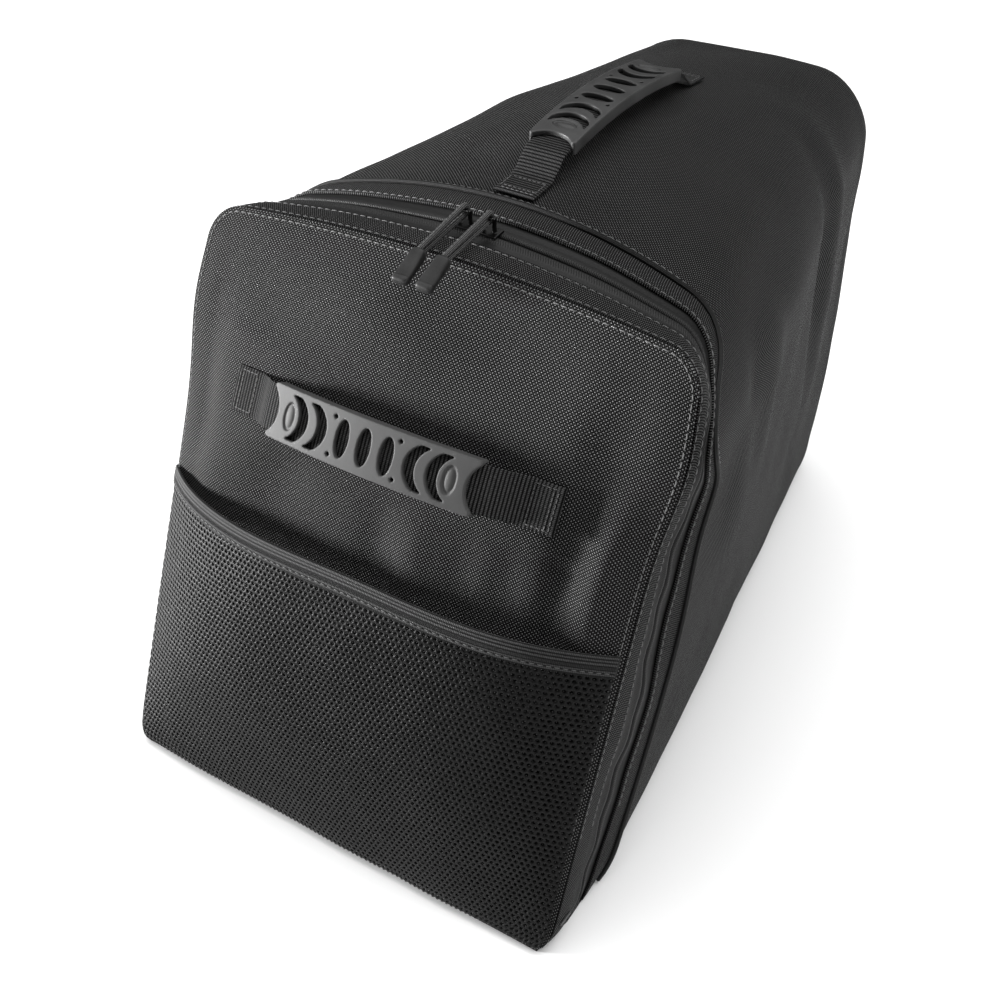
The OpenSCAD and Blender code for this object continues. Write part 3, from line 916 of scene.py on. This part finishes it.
def make_pocket_binding():
    """Tape folded over the mesh's top edge, ribbed along its length."""
    xs = np.linspace(-(HALF_W - 1.6), HALF_W - 1.6, 161)
    a = around(64)
    half_h, half_t, mid_z, rib = 5.4, 1.25, POCKET_H + 4.8, 1.9
    out, up = squarish(a, half_t, half_h, 0.4, 0.55)
    out = out * (1 + 0.14 * np.cos(up * 2 * np.pi / rib))
    wave = 0.7 * np.sin(xs * 0.041 + 1.0)
    z = mid_z + up[None] + wave[:, None]
    base = pocket_out(xs, np.full(len(xs), mid_z)) + 1.3
    rings = front_pt(np.repeat(xs[:, None], len(a), 1), z, base[:, None] + out[None])
    obj = sweep("binding_tape", rings)
    finish_piece(obj, M["trim"], "door", ["pocket_binding"])
    row = front_pt(xs, mid_z - 3.3 + wave, base + half_t + 0.12)
    obj = stitches("binding_stitching", [row], 4.2, 3.1, 0.27, hint=(0, 0.35, 1))
    finish_piece(obj, M["dark_thread"], "door")


# ---------------------------------------------------------------- handles
WEB_STEP, WEB_RIB = 0.4, 2.0
BOX_START, BOX_END = 15.5, 3.0  # the stitched box, measured from the webbing's end
OVAL_X, OVAL_SIZE = 49.0, (2.7, 6.2, 1.1)


def rot(axis, angle):
    return np.array(Matrix.Rotation(angle, 3, axis))


def door_frame():
    """Place and turn of the front handle's middle."""
    n = float(bulge(0.0, HANDLE_Z)) + WALL
    return front_pt(0.0, HANDLE_Z, n), rot("X", math.pi / 2 - LEAN - DOOR_TILT)


def top_frame():
    return np.array(POINT_TOP), rot("X", TOP_TILT) @ rot("Z", math.pi / 2)


def placed(p, where):
    origin, turn = where
    return origin + p @ turn.T


def web_low(x, drop, power):
    """Height of the webbing's underside: an arc in the middle, and flat feet at the ends."""
    bend, flat = 67, HANDLE_L / 2 - 17
    a = np.abs(x)
    foot = 0.5 - drop * (a / 100) ** power
    top = HANDLE_RISE - WEB_T / 2 - ARC_R + np.sqrt(ARC_R ** 2 - a * a)
    k = np.clip((a - bend) / (flat - bend), 0, 1)
    return mix(top, foot, k * k * (3 - 2 * k))


def make_webbing(name, where, drop, power, body):
    xs = np.linspace(-HANDLE_L / 2, HANDLE_L / 2, int(HANDLE_L / WEB_STEP) + 1)
    a = around(36)
    across, up = squarish(a, WEB_W / 2, WEB_T / 2, 0.35, 0.5)
    rib = 1 + 0.16 * np.abs(np.sin(np.pi * xs / WEB_RIB))
    mid = web_low(xs, drop, power) + WEB_T / 2
    end = np.clip((HANDLE_L / 2 - np.abs(xs)) / 1.2, 0.25, 1)
    z = mid[:, None] + up[None] * rib[:, None] * end[:, None]
    y = np.repeat(across[None], len(xs), 0) * (1 + 0.012 * np.sin(xs * 0.9)[:, None])
    p = np.stack([np.repeat(xs[:, None], len(a), 1), y, z], -1)
    obj = sweep(name + "_strap", placed(p, where))
    finish_piece(obj, M["webbing"], body, [name + "_webbing"])

    def row(x, y):
        """A row of thread just above the webbing: x and y may be numbers or arrays."""
        x, y = np.broadcast_arrays(x, y)
        z = web_low(x, drop, power) + WEB_T * 1.12
        return placed(np.stack([x, y, z], -1), where)

    rows = []
    for side in (-1, 1):
        for inset in (BOX_END, 5.4, BOX_START):
            rows.append(row(side * (HANDLE_L / 2 - inset), np.linspace(-10.8, 10.8, 24)))
        along = side * np.linspace(HANDLE_L / 2 - BOX_START, HANDLE_L / 2 - BOX_END, 16)
        rows += [row(along, y) for y in (-10.6, 10.6)]
    hint = where[1] @ np.array([0.35, 0.4, 0.0])
    obj = stitches(name + "_stitching", rows, 2.9, 2.3, 0.26, 0.2, hint=hint)
    finish_piece(obj, M["dark_thread"], body)


def cad_box(node):
    """Corners of a CAD node's box in mm."""
    return [np.array(v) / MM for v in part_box(node)]


def copy_cad(node, name):
    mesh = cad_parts[node].data.copy()
    mesh.name = name
    return linked(name, mesh)


def remeshed(obj, voxel, rounds):
    """Weld, remesh in small voxels and smooth, so that every moulded edge is rounded."""
    edit_mesh(obj, lambda bm: bmesh.ops.remove_doubles(bm, verts=bm.verts, dist=1e-6))
    mod = obj.modifiers.new("voxels", "REMESH")
    mod.mode = "VOXEL"
    mod.voxel_size = voxel * MM
    mod.use_smooth_shade = True
    soft = obj.modifiers.new("soft", "SMOOTH")
    soft.factor = 0.6
    soft.iterations = rounds
    bpy.context.view_layer.update()
    graph = bpy.context.evaluated_depsgraph_get()
    result = bpy.data.meshes.new_from_object(obj.evaluated_get(graph))
    obj.modifiers.clear()
    obj.data = result
    obj.data.polygons.foreach_set("use_smooth", [True] * len(result.polygons))
    return obj


def make_grip(name, where, node, mat):
    """The CAD's grip with rounded edges and a raised oval near each end."""
    obj = copy_cad(node, name + "_moulding")
    turn = Matrix(where[1].tolist()).to_4x4()
    size = Matrix.Diagonal([d * MM for d in OVAL_SIZE]).to_4x4()

    def add_ovals(bm):
        for side in (-1, 1):
            x = side * OVAL_X
            z = HANDLE_RISE + 3.0 - ARC_R + math.sqrt(ARC_R ** 2 - x * x)
            at = Matrix.Translation(Vector(placed(np.array([x, 0.0, z]), where) * MM))
            tilt = Matrix.Rotation(side * math.asin(OVAL_X / ARC_R), 4, "Y")
            bmesh.ops.create_uvsphere(bm, u_segments=24, v_segments=14, radius=1.0,
                                      matrix=at @ (turn @ tilt) @ size)

    edit_mesh(obj, add_ovals)
    remeshed(obj, 0.42, 5)
    finish_piece(obj, mat, name, [node])


# ---------------------------------------------------------------- zip pulls
CORD_STEP, CORD_SIDES, BRAID = 0.32, 24, 2.1
# Place along the tip, half width, half height: a shoulder, a flat body and a raised lip
TIP_RINGS = ((0, 2.6, 2.2), (0.5, 3.5, 3.0), (1.4, 3.95, 3.3), (3, 4.05, 3.15), (8, 4.35, 2.6),
             (14, 4.65, 2.3), (17.2, 4.6, 2.15), (17.6, 4.6, 2.2), (18.2, 4.75, 2.75),
             (19.6, 4.7, 2.7), (20.7, 4.3, 2.3), (21.4, 3.4, 1.4))


def slider_frame(side):
    """Place and turn of a slider on the zip's crowned top."""
    w, h, crown, _ = strip_shape(ZIP_U)
    top = h + crown
    drop = crown * (SLIDER_X / w) ** 2
    origin = np.array([side * SLIDER_X, top * TL + ZIP_U - MID_Y, top - drop])
    return origin, rot("Y", side * RUN_TILT * 0.5) @ rot("X", PITCH)


def make_pull(side, name):
    """A braided cord doubled round the slider's bail, with its ends in a moulded tip."""
    origin, turn = slider_frame(side)
    bail = origin + turn @ np.array([0, 0, BAIL_Z])
    turn = turn @ rot("X", PULL_TILT)
    bend, end = 2.5, 1.6
    a = np.radians(np.linspace(-90, 90, 25))
    y = np.linspace(0, 1, 40)
    low = np.stack([0 * y, -CORD_L * (1 - y), -mix(end, bend, y)], 1)
    arc = np.stack([0 * a, bend * np.cos(a), bend * np.sin(a)], 1)
    path = resample(np.concatenate([low[:-1], arc, -low[::-1][1:] * [1, -1, 1]]), CORD_STEP)
    s = np.arange(len(path)) * CORD_STEP
    w = around(CORD_SIDES)
    one = np.maximum(0, np.sin(4 * w[None] + s[:, None] * BRAID))
    two = np.maximum(0, np.sin(4 * w[None] - s[:, None] * BRAID))
    radius = 1.32 + 0.22 * np.maximum(one, two)
    obj = tube(name + "_cord", bail + path @ turn.T, radius, CORD_SIDES, turn @ [1, 0, 0])
    finish_piece(obj, M["cord"], name, [name + "_cord"])

    turn_tip = turn @ rot("X", TIP_TILT)
    start = bail + turn @ np.array([0, -CORD_L + 0.4, 0])
    q = around(36)
    rings = []
    for at, half_w, half_h in TIP_RINGS:
        x, z = squarish(q, half_w, half_h, 0.5, 0.5)
        rings.append(np.stack([x, np.full(len(q), -float(at)), z - 0.02 * at], 1))
    obj = sweep(name + "_tip_moulding", start + np.array(rings) @ turn_tip.T)
    rounded = obj.modifiers.new("smooth", "SUBSURF")
    rounded.levels = rounded.render_levels = 1
    finish_piece(obj, M["tip"], name, [name + "_tip"])


def make_slider(word):
    name = word + "_slider"
    obj = remeshed(copy_cad(name, name + "_body"), 0.24, 3)
    finish_piece(obj, M["metal"], word + "_slide", [name])


# ---------------------------------------------------------------- stitching
def panel_edge_row(inset):
    x, z, _, _ = arch(HALF_W - inset, FRONT_H - inset, 0.0, CORNER_R - inset, 0.0)
    return panel_points(x, z, WALL + 0.18)


def make_seam_stitching():
    keep = slice(10, -10)  # the rows stop short of the floor
    grid = shell_grid()[:2]
    rows = {
        "door": [panel_edge_row(2.6), strip_ring(1.6, 0.28), strip_ring(STRIP_W - 1.8, 0.42)],
        "body": [strip_ring(BODY_STRIP_U + 1.8, 0.42),
                 mix(grid[0], grid[1], 0.75) + np.array([0, 0, 0.25])],
    }
    for body, lines in rows.items():
        obj = stitches(body + "_stitching", [resample(line[keep], 0.6) for line in lines])
        finish_piece(obj, M["thread"], body)


def make_bartack(side, name):
    """Close rows of thread over the seam at one end of the pocket's binding."""
    low, high = cad_box(name)
    height = high[2] - low[2]
    x = (low[0] if side > 0 else high[0]) + side * 0.75
    rows = [np.array([[x, y, z] for z in np.linspace(low[2], high[2], 8)])
            for y in np.linspace(low[1] + 0.5, high[1] - 0.5, 12)]
    obj = stitches(name + "_threads", rows, height - 0.02, height, 0.5, 0.3)
    finish_piece(obj, M["dark_thread"], "door", [name])


def make_inner_binding(name, node):
    """Tape bound over the raw edge inside the bag."""
    low, high = cad_box(node)
    z = np.linspace(low[2], high[2], 120)
    a = around(28)
    mid_x = (low[0] + high[0]) / 2
    run = (high[1] - low[1]) - (high[2] - low[2]) * TL
    mid_y = low[1] + run / 2 + (z - low[2]) * TL
    across, along = squarish(a, 1.4, run / 2 - 0.3, 0.5, 0.5)
    rings = np.stack([np.repeat((mid_x + across)[None], len(z), 0), mid_y[:, None] + along[None],
                      np.repeat(z[:, None], len(a), 1)], -1)
    obj = sweep(name, rings)
    finish_piece(obj, M["trim"], "body", [node])


# ---------------------------------------------------------------- build
make_body_cloth()
make_rear_cloth()
make_base_cloth()
make_hinge_cloth()
make_strips()
make_zip()
make_piping()
make_door_cloth()
make_mesh_pocket()
make_pocket_binding()
make_webbing("front_handle", door_frame(), 4.3, 4, "door")
make_webbing("top_handle", top_frame(), 4.6, 2, "body")
make_grip("front_grip", door_frame(), "front_handle_grip", M["grip"])
make_grip("top_grip", top_frame(), "top_handle_grip", M["top_grip"])
for side, word in ((-1, "left"), (1, "right")):
    make_pull(side, word + "_pull")
    make_slider(word)
    make_bartack(side, word + "_bartack")
    make_inner_binding(word + "_inner_tape", word + "_body_binding")
make_seam_stitching()


# ---------------------------------------------------------------- studio
CAMERA_AT = Vector((0.3582, -0.6589, 0.6518))
AZIMUTH, ELEVATION, ROLL = 31.66, 37.33, 1.19
LENS = 51.1
BAG_MID = (0.0, -0.05, 0.17)
FLOOR_HALF = 4000.0
WORLD_STRENGTH = 0.17
# Name, place, aim, size in m and power
LIGHTS = (
    ("key", (-2.75, -1.55, 0.3), BAG_MID, 0.6, 345),
    ("side_fill", (2.6, 0.3, 0.7), BAG_MID, 1.4, 24),
    ("overhead", (0.3, 0.4, 3.2), (0.3, 0.4, 0), 4.5, 195),
)


def make_camera():
    data = bpy.data.cameras.new("camera")
    data.sensor_width = 36
    data.lens = LENS
    cam = linked("camera", data)
    a, e = math.radians(AZIMUTH), math.radians(ELEVATION)
    back = Vector((math.sin(a) * math.cos(e), -math.cos(a) * math.cos(e), math.sin(e)))
    roll = Matrix.Rotation(math.radians(ROLL), 3, "Z")
    turn = back.to_track_quat("Z", "Y").to_matrix() @ roll
    cam.matrix_world = Matrix.Translation(CAMERA_AT) @ turn.to_4x4()
    bpy.context.scene.camera = cam


def area_light(name, at, aim, size, power):
    data = bpy.data.lights.new(name, "AREA")
    data.shape = "RECTANGLE"
    data.size = data.size_y = size
    data.energy = power
    obj = linked(name, data)
    obj.location = at
    obj.rotation_euler = (Vector(aim) - Vector(at)).to_track_quat("-Z", "Y").to_euler()


def make_floor():
    n = Nodes("pale_floor")
    n.colour(n.ramp(n.noise(3.0), grey(0.92), grey(0.95)))
    n.set(Roughness=0.85, Specular_IOR_Level=0.1)
    s = FLOOR_HALF
    floor = new_object("floor", [(-s, -s, 0), (s, -s, 0), (s, s, 0), (-s, s, 0)], [[0, 1, 2, 3]])
    floor.data.materials.append(n.mat)


def make_studio():
    scene = bpy.context.scene
    world = bpy.data.worlds.new("studio")
    scene.world = world
    world.use_nodes = True
    sky = world.node_tree.nodes["Background"]
    sky.inputs["Color"].default_value = (1, 1, 1, 1)
    sky.inputs["Strength"].default_value = WORLD_STRENGTH
    scene.view_settings.view_transform = "Standard"
    for light in LIGHTS:
        area_light(*light)


make_camera()
make_floor()
make_studio()
